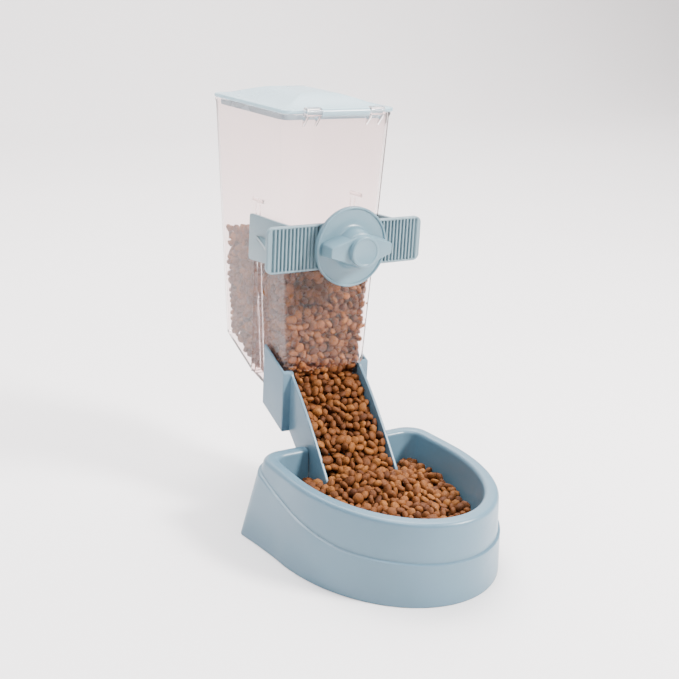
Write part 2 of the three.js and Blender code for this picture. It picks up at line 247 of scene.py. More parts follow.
def spread(tree, source, low, high):
    """A number from low to high as the source goes from 0.3 to 0.7."""
    node = tree.nodes.new("ShaderNodeMapRange")
    node.inputs["From Min"].default_value = 0.3
    node.inputs["From Max"].default_value = 0.7
    node.inputs["To Min"].default_value = low
    node.inputs["To Max"].default_value = high
    tree.links.new(source, node.inputs["Value"])
    return node


def bump(tree, shader, source, strength, distance):
    """Height from the source, felt by the shader's normal."""
    node = tree.nodes.new("ShaderNodeBump")
    node.inputs["Strength"].default_value = strength
    node.inputs["Distance"].default_value = distance
    tree.links.new(source, node.inputs["Height"])
    tree.links.new(node.outputs["Normal"], shader.inputs["Normal"])


def start_material(name):
    """A new material, its tree, its Principled shader and Object coordinates."""
    material = bpy.data.materials.new(name)
    material.use_nodes = True
    tree = material.node_tree
    return material, tree, tree.nodes["Principled BSDF"], tree.nodes.new("ShaderNodeTexCoord")


def plastic(name, colour, rough, grain=0.12):
    """Pigmented moulded plastic of one colour, a little uneven in colour, gloss and height."""
    material, tree, shader, coords = start_material(name)
    colour = np.array(colour)
    cloud = noise(tree, coords, 26)
    shades = [(0.3, colour * 0.965), (0.7, np.minimum(colour * 1.035, 1))]
    tint = ramp(tree, cloud.outputs["Fac"], shades)
    tree.links.new(tint.outputs["Color"], shader.inputs["Base Color"])
    patches = spread(tree, noise(tree, coords, 60).outputs["Fac"], rough - 0.05, rough + 0.07)
    tree.links.new(patches.outputs["Result"], shader.inputs["Roughness"])
    bump(tree, shader, noise(tree, coords, 1500, 2).outputs["Fac"], grain, 0.2 * MM)
    shader.inputs["IOR"].default_value = 1.49
    shader.inputs["Coat Weight"].default_value = 0.12
    shader.inputs["Coat Roughness"].default_value = 0.22
    return material


bowl_finish = plastic("bowl_plastic", (0.10, 0.182, 0.242), 0.36)
chute_finish = plastic("chute_plastic", (0.10, 0.178, 0.238), 0.38)
knob_finish = plastic("knob_plastic", (0.12, 0.208, 0.255), 0.34)
bracket_finish = plastic("bracket_plastic", (0.145, 0.22, 0.255), 0.42, 0.2)
bolt_finish = plastic("bolt_plastic", (0.12, 0.19, 0.23), 0.42, 0.2)
print("opaque plastics made")


# %% [markdown]
# ## Clear and milky plastic
#
# The hopper is clear polystyrene with walls about 2 mm thick. It is not perfect
# glass: handling leaves a faint haze and the resin has a slightly warm tint. The
# side walls pass less light than the front pane and show more pale resin: a painted
# veil for the reflection on walls seen at a slant. A thin wall bends light and at
# once bends it back, so its index of refraction is set low, at 1.22: at the resin's
# full 1.59 the reflections between its two faces would veil the feed. A clear wall
# casts hardly any shadow either, but rays that look for a lamp can't bend through it,
# so `open_to_lamps` lets just those rays pass straight. The lid is a resin with blue
# pigment and more haze, so it only glows.

# %% Clear plastic
def towards_sides(tree, coords, near, far):
    """A number that goes from near to far between 24 and 29 mm from the middle plane."""
    split = tree.nodes.new("ShaderNodeSeparateXYZ")
    size = tree.nodes.new("ShaderNodeMath")
    size.operation = "ABSOLUTE"
    change = tree.nodes.new("ShaderNodeMapRange")
    limits = {"From Min": 24 * MM, "From Max": 29 * MM, "To Min": near, "To Max": far}
    for socket, value in limits.items():
        change.inputs[socket].default_value = value
    tree.links.new(coords.outputs["Object"], split.inputs["Vector"])
    tree.links.new(split.outputs["X"], size.inputs[0])
    tree.links.new(size.outputs["Value"], change.inputs["Value"])
    return change


def open_to_lamps(tree, shader, share):
    """Rays on their way to a lamp pass straight through, a little dimmed, and light what is behind."""
    path = tree.nodes.new("ShaderNodeLightPath")
    straight = tree.nodes.new("ShaderNodeBsdfTransparent")
    straight.inputs["Color"].default_value = (share, share, share, 1)
    mix = tree.nodes.new("ShaderNodeMixShader")
    tree.links.new(path.outputs["Is Shadow Ray"], mix.inputs[0])
    tree.links.new(shader.outputs["BSDF"], mix.inputs[1])
    tree.links.new(straight.outputs["BSDF"], mix.inputs[2])
    tree.links.new(mix.outputs["Shader"], tree.nodes["Material Output"].inputs["Surface"])


def clear(name, colour, through, rough, lamp_share, ior):
    """See-through plastic: the haze varies over the surface, and the sides may pass less light."""
    material, tree, shader, coords = start_material(name)
    shader.inputs["Base Color"].default_value = (*colour, 1)
    # Towards the side walls less light passes and more pale resin shows: a painted veil for the
    # reflection on slanting walls.
    if isinstance(through, tuple):
        share = towards_sides(tree, coords, *through)
        tree.links.new(share.outputs["Result"], shader.inputs["Transmission Weight"])
    else:
        shader.inputs["Transmission Weight"].default_value = through
    shader.inputs["IOR"].default_value = ior
    haze = spread(tree, noise(tree, coords, 18).outputs["Fac"], *rough)
    tree.links.new(haze.outputs["Result"], shader.inputs["Roughness"])
    bump(tree, shader, noise(tree, coords, 45, 1).outputs["Fac"], 0.06, MM)
    open_to_lamps(tree, shader, lamp_share)
    return material


clear_finish = clear("clear_plastic", (0.95, 0.86, 0.85), through=(0.997, 0.98), rough=(0.0, 0.03),
                     lamp_share=0.66, ior=1.22)
lid_finish = clear("lid_plastic", (0.38, 0.52, 0.58), through=0.35, rough=(0.22, 0.32),
                   lamp_share=0.75, ior=1.45)
print("clear plastics made")


# %% [markdown]
# ## The bowl
#
# The bowl is one moulding with two walls: a tub that holds the feed, and a skirt
# outside it, joined by a broad rim and open underneath. Both walls follow the same
# D-shaped plan, straight at the back and a half ellipse in front. So the whole
# piece is one closed profile, from the middle of the floor up the tub, over the rim,
# down the skirt, and back up inside, carried round the plan. A slot in the back
# lets the chute in: there the profile is simply cut off lower.

# %% The D-shaped plan
BOWL_LOW, BOWL_HIGH = BOXES["bowl"]
RIM_Z = BOWL_HIGH[2]
BASE_Z = BOWL_LOW[2]
BOWL_FRONT = -137.0
BOWL_REAR = -1.5
WIDEST_Y = -48.0
NOTCH_HALF = 28.2
NOTCH_Z = -159.5
TUB_FLOOR = -172.0
TUB_HALF, TUB_DRAFT = 54.5, 4.5  # half width of the tub at the rim, and what it loses to the floor
RIM_HALF, RIM_BACK, RIM_CORNER = 62.5, 61.0, 14.0  # the skirt at the rim: widest, at the back, corners
FLARE_HALF, FLARE_BACK, FLARE_CORNER = 5.7, 10.6, -8.5  # what each of these changes down to the base
LEDGE_FRONT, LEDGE_CLIMB = -152.5, 18.3  # height of the skirt's small ledge in front, and its climb
BOWL_WALL = 2.0
print("bowl from", BASE_Z, "to", RIM_Z, "mm")


def plan_columns():
    """For half the plan, front centre to rear centre: the kind of stretch and its own parameter."""
    front = np.radians(np.linspace(-90, 0, 46))
    side = np.linspace(0, 1, 10)[1:-1]
    corner = np.radians(np.linspace(0, 90, 14))
    straight = np.concatenate([np.linspace(1, 0, 5)[1:-1], [0.0]])
    notch = np.array([NOTCH_HALF, NOTCH_HALF - 0.7, 18, 9, 0])
    stretches = [front, side, corner, straight, notch]
    kinds = np.repeat(np.arange(5), [len(stretch) for stretch in stretches])
    return kinds, np.concatenate(stretches)


def plan(half, back, rear, front, corner):
    """Plan points, a row for each size: ellipse, side line, corner arc, back line and slot."""
    kind, t = plan_columns()
    x = np.select(
        [kind == 0, kind == 1, kind == 2, kind == 3],
        [half * np.cos(t), half - (half - back) * t ** 1.5, back - corner + corner * np.cos(t),
         (NOTCH_HALF + 0.8) * (1 - t) + (back - corner) * t],
        t,
    )
    y = np.select(
        [kind == 0, kind == 1, kind == 2],
        [WIDEST_Y + (WIDEST_Y - front) * np.sin(t), WIDEST_Y + (rear - corner - WIDEST_Y) * t,
         rear - corner + corner * np.sin(t)],
        rear,
    )
    x = np.concatenate([x, -x[:, -2:0:-1]], axis=1)
    y = np.concatenate([y, y[:, -2:0:-1]], axis=1)
    return x, y


def skirt(z, inwards):
    """Plan of the skirt at height z: it widens and its corners tighten towards the base."""
    share = (RIM_Z - z) / (RIM_Z - BASE_Z)
    half = RIM_HALF + FLARE_HALF * share - inwards
    back = RIM_BACK + FLARE_BACK * share - inwards
    corner = np.maximum(RIM_CORNER + FLARE_CORNER * share - inwards / 2, 1)
    return half, back, BOWL_REAR - inwards, BOWL_FRONT + inwards, corner


def tub(z, outwards):
    """Plan of the tub's inner face at height z: it narrows towards the floor."""
    share = (RIM_Z - z) / (RIM_Z - TUB_FLOOR)
    half = TUB_HALF - TUB_DRAFT * share + outwards
    return (half, half * 0.975, BOWL_REAR - 8 - 3 * share + outwards,
            BOWL_FRONT + 9.5 + 4.5 * share - outwards, 9 + outwards / 2)


# %% The bowl's profile carried round the plan
def bowl_grid():
    """Rows follow the profile: each is the tub's or skirt's plan at its height, drawn by its offset."""
    at_rim = np.array([RIM_HALF, RIM_BACK, BOWL_REAR, BOWL_FRONT, RIM_CORNER])
    _, (rim_y,) = plan(*at_rim[:, None, None])
    ledge = LEDGE_FRONT + LEDGE_CLIMB * np.clip((rim_y + 100) / 98.5, 0, 1) ** 1.4
    turn = np.linspace(0, math.pi / 2, 6)
    quarter = list(zip(1 - np.cos(turn), np.sin(turn)))
    grid = []

    def add(family, z, offset):
        """One more row: the family's plan at height z, drawn in or out by the offset."""
        z = np.broadcast_to(np.asarray(z, dtype=float), rim_y.shape)
        half_z = z[None, : len(plan_columns()[0])]
        x, y = plan(*[np.broadcast_to(size, half_z.shape) for size in family(half_z, offset)])
        grid.append(np.stack([x[0], y[0], z], axis=-1))

    # the tub's inner face, from its floor up to the rim
    for inwards in (5.0, 4.0, 2.6, 1.2):
        add(tub, TUB_FLOOR, -inwards)
    for a, b in quarter:
        add(tub, TUB_FLOOR + 3.5 * a, -3.5 * (1 - b))
    for z in np.linspace(TUB_FLOOR + 5, RIM_Z - 2.6, 8):
        add(tub, z, 0.0)
    # over the rim, and down the skirt to its ledge
    for a, b in quarter:
        add(tub, RIM_Z - 2.4 + 2.4 * b, 2.4 * a)
    for a, b in quarter[::-1]:
        add(skirt, RIM_Z - 2.6 + 2.6 * b, 2.6 * a)
    for share in np.linspace(0.08, 0.97, 9):
        add(skirt, (RIM_Z - 2.6) * (1 - share) + (ledge + 0.5) * share, 0.0)
    for drop, out in ((0.15, 0.0), (0.0, -0.3), (-0.1, -1.0), (-0.4, -1.38), (-1.0, -1.45)):
        add(skirt, ledge + drop, out)
    # below the ledge to the foot, round it, and back up inside to the tub's outer face
    for share in np.linspace(0.1, 0.96, 8):
        add(skirt, (ledge - 1.2) * (1 - share) + (BASE_Z + 0.9) * share, -1.35 + 0.35 * share)
    for a, b in quarter:
        add(skirt, BASE_Z + 0.8 - 0.8 * b, -1.0 + 0.8 * a)
    add(skirt, BASE_Z, 1.2)
    for share in np.linspace(0.04, 1, 6):
        add(skirt, BASE_Z * (1 - share) + (ledge - 2) * share, 1.2)
    add(skirt, RIM_Z - 3.0, BOWL_WALL)
    add(tub, RIM_Z - 3.0, BOWL_WALL)
    for z in np.linspace(RIM_Z - 6, TUB_FLOOR, 6):
        add(tub, z, BOWL_WALL)
    add(tub, TUB_FLOOR - BOWL_WALL, 1.0)
    return np.array(grid)


def bowl_shell():
    """The carried profile, cut down in the slot, and the floor's two faces drawn in to a centre."""
    grid = bowl_grid()
    slot = (np.abs(grid[:, :, 0]) < NOTCH_HALF - 0.2) & (grid[:, :, 1] > -20)
    grid[slot, 2] = np.minimum(grid[slot, 2], NOTCH_Z)
    centre = np.array([0.0, -62.0, 0.0])
    drawn_in = np.array([(share, share, 1.0) for share in (0.0, 0.35, 0.7)])[:, None, :]
    inner = centre + (grid[0] - centre) * drawn_in
    under = centre + (grid[-1] - centre) * drawn_in
    return np.concatenate([inner, grid, under[::-1]])


build("bowl_body", [(bowl_shell(), "open")], bowl_finish, "bowl", "bowl")


# %% [markdown]
# ## The chute
#
# The chute is a U-shaped channel that slopes down from the hopper's outlet and
# steepens towards the bowl. Its upper end is a wider collar that grips the outlet.
# A station is one U section, given by three heights: the underside, the floor and
# the top of the walls. Sweeping stations along the slope gives channel and collar
# in one skin, with the step between them where the width changes quickly. Two small
# lugs on its sides carry the bowl.

# %% Stations along the slope
def bezier(points, t):
    """Point at t on the curve that the control points pull: repeated mixing of neighbours."""
    points = np.array(points, dtype=float)[:, None, :] + 0 * t[None, :, None]
    while len(points) > 1:
        points = points[:-1] * (1 - t)[None, :, None] + points[1:] * t[None, :, None]
    return points[0]


COLLAR_HALF = 32.6
CHUTE_HALF = 27.0
COLLAR_Y = 17.5
CHUTE_WALL = 2.0


def chute_underside(t):
    """(y, z) under the slope: t goes from 0 at the collar to 1 at the mouth."""
    return bezier([(COLLAR_Y - 0.1, -125.3), (2, -139.8), (-14, -156), (-33, -164)], t)


def chute_top(t):
    """(y, z) along the top of the slope's walls, for the same t."""
    return bezier([(COLLAR_Y - 0.1, -87.0), (-4.75, -106.5), (-31.2, -142.5)], t)


def chute_shell():
    """U sections: outer left top, down, across, up, then the same inside the wall."""
    collar = [  # rear to front: y, underside, floor, wall top, outer half, wall
        (43.5, -114.0, -107.8, -73.2, COLLAR_HALF, 1.7),
        (41.9, -114.7, -107.9, -73.9, COLLAR_HALF, 1.7),
        (41.7, -114.8, -112.7, -74.0, COLLAR_HALF, 1.7),
        (30.0, -119.9, -117.8, -79.5, COLLAR_HALF, 1.7),
        (19.4, -124.5, -122.4, -84.4, COLLAR_HALF, 1.7),
        (19.3, -124.5, -122.5, -84.5, COLLAR_HALF, COLLAR_HALF - CHUTE_HALF + CHUTE_WALL),
        (18.1, -125.0, -122.9, -85.0, COLLAR_HALF, COLLAR_HALF - CHUTE_HALF + CHUTE_WALL),
        (17.5, -125.2, -123.1, -85.6, COLLAR_HALF - 0.5, COLLAR_HALF - CHUTE_HALF + 1.5),
        (17.45, -125.3, -123.2, -86.4, CHUTE_HALF, CHUTE_WALL),
    ]
    sections = [[(y, b), (y, f), (y, t), h, w] for y, b, f, t, h, w in collar]
    t = np.linspace(0.02, 1, 34)
    under, top = chute_underside(t), chute_top(t)
    direction = np.gradient(under, axis=0)
    normal = np.stack([-direction[:, 1], direction[:, 0]], axis=1)
    normal *= -CHUTE_WALL / np.linalg.norm(normal, axis=1, keepdims=True)
    floor = under + normal * np.sign(normal[:, 1:2])
    lip = [[(-33.4, -163.6), (-33.6, -161.6), (-32.6, -150.0)],
           [(-33.7, -163.0), (-33.8, -162.0), (-33.6, -157.5)]]
    for u, f, p in [*zip(under, floor, top), *lip]:
        sections.append([u, f, p, CHUTE_HALF, CHUTE_WALL])
    rings = [[(-half, *p), (-half, *u), (half, *u), (half, *p),
              (half - wall, *p), (half - wall, *f), (wall - half, *f), (wall - half, *p)]
             for u, f, p, half, wall in sections]
    return soften(np.array(rings, dtype=float), 0.75, 4)


lug = block((26.6, -7.4, -136), (33, -4.2, -131.3), 0.6, 0.3)
build("chute_body", [(chute_shell(), "caps"), (lug, "caps"), (mirrored(lug), "caps")],
      chute_finish, "chute", "chute")


# %% [markdown]
# ## The wing nut
#
# A big round flange spreads the grip over the wires, a stepped boss covers the
# bolt's end, and two wings give the fingers something to turn. The flange and boss
# are one turned profile with a raised rim and a shallow dish. Each wing is a loft:
# a rounded section that shrinks in a straight line from the boss to a blunt tip.

# %% Flange and boss
NUT_LOW, NUT_HIGH = BOXES["wing_nut"]
DISC_R = NUT_HIGH[2]
CAP_Y = NUT_LOW[1]
BACK_Y = NUT_HIGH[1]
FACE_Y = -4.9
BORE_R = 4.3


def arc(centre, radius, start, end, steps=5):
    """Points of a circular arc in (radius, height) space, angles in degrees."""
    angle = np.radians(np.linspace(start, end, steps))
    across, along = centre[0] + radius * np.cos(angle), centre[1] + radius * np.sin(angle)
    return np.column_stack([across, along]).tolist()


def nut_profile():
    """From inside the bore, round the flange's rim, over the dish and the boss to the cap's centre."""
    bore = [(0, -17.3), (BORE_R, -17.3), (BORE_R, BACK_Y)]
    rim = [(DISC_R - 0.8, BACK_Y)] + arc((DISC_R - 0.8, BACK_Y - 0.8), 0.8, 90, 0)
    rim += arc((DISC_R - 0.55, FACE_Y), 0.55, 0, -90)
    rim += arc((DISC_R - 0.95, FACE_Y), 0.55, -90, -140, 3)
    dish = [(DISC_R - 1.75, FACE_Y + 0.3), (18, FACE_Y + 0.55), (14.2, FACE_Y + 0.25)]
    foot = [(13.2, FACE_Y - 0.3), (12.5, FACE_Y - 1.1), (12.1, -8.5), (11.2, -14.5)]
    step = arc((10.5, -15.1), 0.5, -20, -80, 4)
    neck = [(9.75, -16.4), (9.55, -17.2)]
    cap = arc((8.95, CAP_Y + 0.65), 0.65, 0, -90, 6)
    cap += [(8.1, CAP_Y), (7.8, CAP_Y + 0.3), (7.5, CAP_Y + 0.4), (0, CAP_Y + 0.4)]
    return bore + rim + dish + foot + step + neck + cap


def wing_grid():
    """Sections along x: half height falls in a straight line to the tip, front edge leans back."""
    tip = 21.9
    x = np.array([3.0, 8.0, 12.0, 16.0, 20.0, tip - 0.5, tip - 0.12, tip])
    shrink = np.array([0, 0, 0, 0, 0, 0, 0.25, 0.6])
    half = 3.3 + (tip - x) * 0.345 - shrink
    front = -16.4 + (x - tip) * 0.05 + shrink
    back = np.full_like(x, FACE_Y + 0.6)
    rows = [[(b, -h - 0.9), (b, h + 0.9), (f, h * 0.93), (f, -h * 0.93)]
            for b, h, f in zip(back, half, front)]
    section = soften(np.array(rows), 0.7, 5)
    return np.concatenate([station(x, section), section], axis=2)


wing = wing_grid()
turned = lathe(nut_profile(), "y", columns=128)
nut_shells = [(turned, "open"), (wing, "caps"), (mirrored(wing), "caps")]
build("wing_nut_body", nut_shells, knob_finish, "wing_nut", "wing_nut", sharp=28)


# %% [markdown]
# ## The bolt
#
# A coarse moulded thread is a ridge that climbs one pitch a turn. On a cylinder it
# is a height field: the radius at a height and an angle depends only on where that
# point falls within the pitch. It fades out near the head, so it is one surface.

# %% Threaded bolt
BOLT_LOW, BOLT_HIGH = BOXES["clamp_bolt"]


def bolt_grid():
    """Core radius plus a clipped triangle wave of height over pitch minus angle over a turn."""
    pitch, core, crest = 3.0, 3.4, 0.55
    angle = np.linspace(0, TAU, 48, endpoint=False)
    y = np.linspace(BOLT_LOW[1] + 0.4, 1.0, 150)[:, None]
    phase = np.mod(y / pitch - angle / TAU, 1.0)
    ridge = np.clip(1.3 - 4.2 * np.abs(phase - 0.5), 0, 1)
    fade = np.clip((y - BOLT_LOW[1]) / 2, 0, 1) * np.clip((1.0 - y) / 1.5, 0, 1)
    radius = core + crest * ridge * fade
    shaft = np.stack([radius * np.cos(angle), y + 0 * angle, radius * np.sin(angle)], axis=-1)
    seat, top = BOLT_HIGH[1] - 3.0, BOLT_HIGH[1]
    tip = lathe([(0, BOLT_LOW[1]), (2.9, BOLT_LOW[1])], "y", columns=48)
    head = [(3.6, 1.2), (3.6, seat), (7.6, seat)] + arc((7.4, seat + 0.6), 0.6, -90, 0)
    head += arc((7.0, top - 1.0), 1.0, 0, 90) + [(2.6, top), (2.3, top - 0.8), (0, top - 0.8)]
    return np.concatenate([tip, shaft, lathe(head, "y", columns=48)])


build("clamp_bolt_body", [(bolt_grid(), "open")], bolt_finish, "bracket", "clamp_bolt")


# %% [markdown]
# ## The bracket
#
# The clamp plate's face is a field of upright ribs that bite on the wires. Its
# surface is a loop of points round the plate's thickness, carried along its length:
# the face's depth follows a rounded wave of the distance along the plate, and
# the height shrinks at both ends along the corner's arc. The arms and their webs
# are plates with soft edges.

# %% Ribbed plate
BRACKET_LOW, BRACKET_HIGH = BOXES["bracket"]
FACE, THICK = BRACKET_LOW[1], 3.2
PLATE_HALF = BRACKET_HIGH[0]
PLATE_UP = 14.5
RIB_PITCH, RIB_DEPTH = 2.6, 1.7
ARM_IN, ARM_OUT = 36.3, 38.7
ARM_REAR = BRACKET_HIGH[1]


def plate_grid():
    """Loops round the thickness: ribbed face, top edge, back, bottom edge; they shrink to the ends."""
    corner, edge, margin = 4.6, 0.7, 3.4
    length = np.linspace(-PLATE_HALF + corner, PLATE_HALF - corner, 640)
    end = np.radians(np.linspace(0, 90, 14))[1:]
    end_x, end_drop = PLATE_HALF - corner + corner * np.sin(end), corner * (1 - np.cos(end))
    reach = np.concatenate([-end_x[::-1], length, end_x])
    drop = np.concatenate([end_drop[::-1], 0 * length, end_drop])
    height = (PLATE_UP - drop)[:, None]
    near_end = np.abs(reach)[:, None] - (PLATE_HALF - edge)
    thin = edge * (1 - np.sqrt(np.clip(1 - np.clip(near_end / edge, 0, 1) ** 2, 0, 1)))
    v = np.concatenate([[-1, -0.955], np.linspace(-0.94, 0.94, 9), [0.955, 1]])
    wave = np.clip(0.5 + 1.9 * np.cos(TAU * reach / RIB_PITCH), 0, 1)[:, None]
    ribbed = np.abs(reach)[:, None] < PLATE_HALF - margin
    inside = np.abs(v)[None, :] < 0.95
    depth = RIB_DEPTH * wave * ribbed * inside
    turn = np.linspace(0, math.pi / 2, 5)[1:-1]
    face_z = v[None, :] * (height - edge)
    face_y = FACE + thin + depth
    round_z = (height - edge) + edge * np.sin(turn)
    front_round = FACE + thin + edge * (1 - np.cos(turn)) * (1 - thin / edge * 0.9)
    back = FACE + THICK - thin
    back_round = back - edge * (1 - np.cos(turn[::-1])) * (1 - thin / edge * 0.9)
    back_z = np.linspace(1, -1, 7)[None, :] * (height - edge)
    z = np.concatenate([face_z, round_z, round_z[:, ::-1], back_z, -round_z, -round_z[:, ::-1]],
                       axis=1)
    y = np.concatenate([face_y, front_round, back_round, back + 0 * back_z, back_round[:, ::-1],
                        front_round[:, ::-1]], axis=1)
    return np.stack([reach[:, None] + 0 * z, y, z], axis=-1)


def bracket_shells():
    """Plate, two arms, their keepers behind and before the hopper's rails, and the two webs."""
    back = FACE + THICK
    arm = [(back - 1, -15), (24, -15.6), (ARM_REAR, -18.6), (ARM_REAR, 11.6), (24, 12.6),
           (back - 1, 13.6)]
    web = [(ARM_OUT - 0.4, back - 1), (PLATE_HALF - 3, back - 1), (PLATE_HALF - 3, back + 1.2),
           (ARM_OUT - 0.4, 48.5)]
    right = [slab(arm, ARM_IN, ARM_OUT, "x", 2.2, 0.5), slab(web, -3, -1, "z", 0.8, 0.4),
             block((34.9, 55.4, -18), (ARM_IN + 0.5, ARM_REAR - 0.1, -4), 0.5, 0.3),
             block((34.9, 46.2, -18), (ARM_IN + 0.5, 48.1, -4), 0.5, 0.3)]
    left = [mirrored(grid) for grid in right]
    return [(grid, "caps") for grid in [plate_grid()] + right + left]


build("bracket_body", bracket_shells(), bracket_finish, "bracket", "bracket")


# %% [markdown]
# ## The hopper
#
# The clear box tapers towards the bottom, with generous front corners that bend
# light into bright upright lines. Its wall is a closed ring: the outside runs down,
# turns under, and the inside runs back up to the rim, so refraction has a real
# thickness to work with. The bottom of each column stops at the sloping floor, or
# at the outlet's edge in front. The floor is a bent plate between the walls.

# %% Rounded-rectangle rings and the tapered wall
TOP_Z, GATE_Z = 79.0, -85.0  # the rim, and the bottom edge of the front pane above the outlet
HALF_TOP, HALF_GATE = 39.6, 29.6  # half width at these two heights
HOPPER_FRONT, HOPPER_REAR = 15.2, BOXES["hopper"][1][1]
REAR_DRAFT = 0.03
WALL = 2.0
HINGE_Y, HINGE_Z = 11.2, 80.6
FLOOR_LINE = np.array([(20.0, -107.6), (43.0, -105.5), (57.0, -102.0), (68.4, -99.3),
                       (103.0, -81.9), (130.0, -68.5)])  # (y, z) under the sloping floor
print("hopper from", HOPPER_FRONT, "to", HOPPER_REAR, "mm")


def ring_columns(front_radius, rear_radius, side_steps):
    """Columns of a rounded rectangle as weights on half width, front and rear, plus offsets."""
    flat = np.linspace(0, 1, 9)[:-1]
    front_turn, rear_turn = np.radians(np.linspace(-90, 0, 12)), np.radians(np.linspace(0, 90, 8))
    side = side_steps[1:-1]
    one = np.ones_like
    parts = [
        (flat, -flat * front_radius, one(flat), 0 * flat, 0 * flat),
        (one(front_turn), front_radius * (np.cos(front_turn) - 1), one(front_turn), 0 * front_turn,
         front_radius * (1 + np.sin(front_turn))),
        (one(side), 0 * side, 1 - side, side, front_radius * (1 - side) - rear_radius * side),
        (one(rear_turn), rear_radius * (np.cos(rear_turn) - 1), 0 * rear_turn, one(rear_turn),
         rear_radius * (np.sin(rear_turn) - 1)),
        (1 - flat[1:], -(1 - flat[1:]) * rear_radius, 0 * flat[1:], one(flat[1:]), 0 * flat[1:]),
    ]
    return [np.concatenate(column) for column in zip(*parts)]


def ring(columns, half, front, rear):
    """Plan points: x = a*half + b and y = c*front + d*rear + e, mirrored to the other side."""
    a, b, c, d, e = columns
    x, y = a * half + b, c * front + d * rear + e
    return np.concatenate([x, -x[..., ::-1]], axis=-1), np.concatenate([y, y[..., ::-1]], axis=-1)


def half_at(z):
    """Half width at height z: a straight line through the widths at the gate and the rim."""
    return HALF_GATE + (z - GATE_Z) * (HALF_TOP - HALF_GATE) / (TOP_Z - GATE_Z)


def rear_at(z):
    """Where the rear wall stands at height z: it leans in by the draft."""
    return HOPPER_REAR - (TOP_Z - z) * REAR_DRAFT


def floor_under(y):
    """Height of the floor's lower face at y."""
    return np.interp(y, FLOOR_LINE[:, 0], FLOOR_LINE[:, 1])


SIDE_STEPS = np.sort(np.concatenate([np.linspace(0, 1, 20), [0.0, 0.005, 0.02]]))


def wall_grid():
    """Outside rows from rim to bottom, inside rows back up; columns end at the floor or the gate."""
    columns = ring_columns(8.0, 4.0, SIDE_STEPS)
    inner_columns = ring_columns(6.0, 2.2, SIDE_STEPS)
    _, base_y = ring(columns, HALF_GATE, HOPPER_FRONT, rear_at(GATE_Z))
    step = np.clip((base_y - 19.6) / 1.6, 0, 1)
    low = GATE_Z * (1 - step) + floor_under(base_y) * step
    one_side = len(low) // 2
    rows = []
    for share in np.concatenate([[0, 0.004, 0.008], np.linspace(0.02, 0.994, 26), [0.998, 1.0]]):
        z = TOP_Z + (low - TOP_Z) * share
        bead = 0.55 * np.clip((z - (TOP_Z - 3.2)) / 0.8, 0, 1)
        lip = np.clip((z - (TOP_Z - 0.5)) / 0.5, 0, 1) ** 2 * 0.4
        tuck = np.clip((share - 0.994) / 0.006, 0, 1) ** 2 * 0.5
        half, front = half_at(z) + bead - lip - tuck, HOPPER_FRONT - (bead - lip - tuck)
        rear = rear_at(z) - tuck
        x, y = ring(columns, half[:one_side], front[:one_side], rear[:one_side])
        rows.append(np.stack([x, y, z], axis=-1))
    for share in np.concatenate([[1.0, 0.997], np.linspace(0.99, 0.01, 26), [0.004, 0.0]]):
        z = TOP_Z + (low - TOP_Z) * share
        at_bottom, at_rim = np.clip([(share - 0.994) / 0.006, (0.006 - share) / 0.006], 0, 1)
        wall = WALL + 0.35 * at_bottom + 0.3 * at_rim
        half, rear = half_at(z) - wall, rear_at(z) - wall
        x, y = ring(inner_columns, half[:one_side], HOPPER_FRONT + wall, rear[:one_side])
        rows.append(np.stack([x, y, z], axis=-1))
    return np.array(rows)


# %% Floor, rails, ears and the finished hopper
def floor_grid():
    """A bent plate: the floor line swept across the width between the walls, 2 mm thick."""
    y = np.array([43.0, 50, 57, 62, 68.4, 76, 84, 92, 100.5])
    z = floor_under(y)
    half = half_at(z) - WALL - 0.02
    rows = [[(-h, a, b), (h, a, b), (h, a, b + WALL), (-h, a, b + WALL)] for h, a, b in zip(half, y, z)]
    return soften(np.array(rows), 0.5, 3)


def rail_grid(front, rear):
    """One fin of the guide rail: from the leaning wall out to an upright edge, deeper lower down."""
    z = np.linspace(-94.5, 18.5, 20)
    inner = half_at(z) + 0.05
    rows = [[(i, front), (36.0, front), (36.0, rear), (i, rear)] for i in inner]
    section = soften(np.array(rows), 0.5, 4)
    return np.concatenate([section, station(z, section)], axis=2)


def ear_shells():
    """Hinge ears: a tube for the pin with two thin gussets below it."""
    profile = [(1.8, 17.6), (2.9, 17.6), (3.2, 17.9), (3.2, 27.7), (2.9, 28.0), (1.8, 28.0)]
    tube = lathe(profile, "x", (0, HINGE_Y, HINGE_Z), 36)
    gusset = [(HINGE_Y - 2.4, HINGE_Z - 2.2), (HINGE_Y + 3.4, HINGE_Z - 9.0),
              (HINGE_Y + 3.4, HINGE_Z - 3.2)]
    plates = [slab(gusset, x, x + 1.5, "x", 0.5, 0.3) for x in (17.7, 26.3)]
    return [(tube, "ring")] + [(plate, "caps") for plate in plates]


def hopper_shells():
    """Wall and floor, then each side's two rail fins, the stop above them, and its ear."""
    stop = block((36.2, 42.5, 20.0), (37.6, 56.5, 22.4), 0.5, 0.4)
    rail = [rail_grid(48.5, 49.9), rail_grid(53.6, 55.0), stop]
    one_side = [(grid, "caps") for grid in rail] + ear_shells()
    other = [(mirrored(grid), ends) for grid, ends in one_side]
    return [(wall_grid(), "ring"), (floor_grid(), "caps")] + one_side + other


build("hopper_body", hopper_shells(), clear_finish, "hopper", "hopper")


# %% [markdown]
# ## The lid
#
# A thin plate with a shallow raised crown and a lip that drops inside the rim. It
# is a stack of rounded-rectangle rings: from the crown's centre out over its soft
# shoulder to the edge, under, and back in, with the wall kept even. The hinge
# barrel and pin are turned pieces along X, moulded on.

# %% Lid
LID_HALF, LID_REAR, LID_TOP = BOXES["lid"][1]
LID_FRONT = 14.9
LID_UNDER = TOP_Z + 0.3


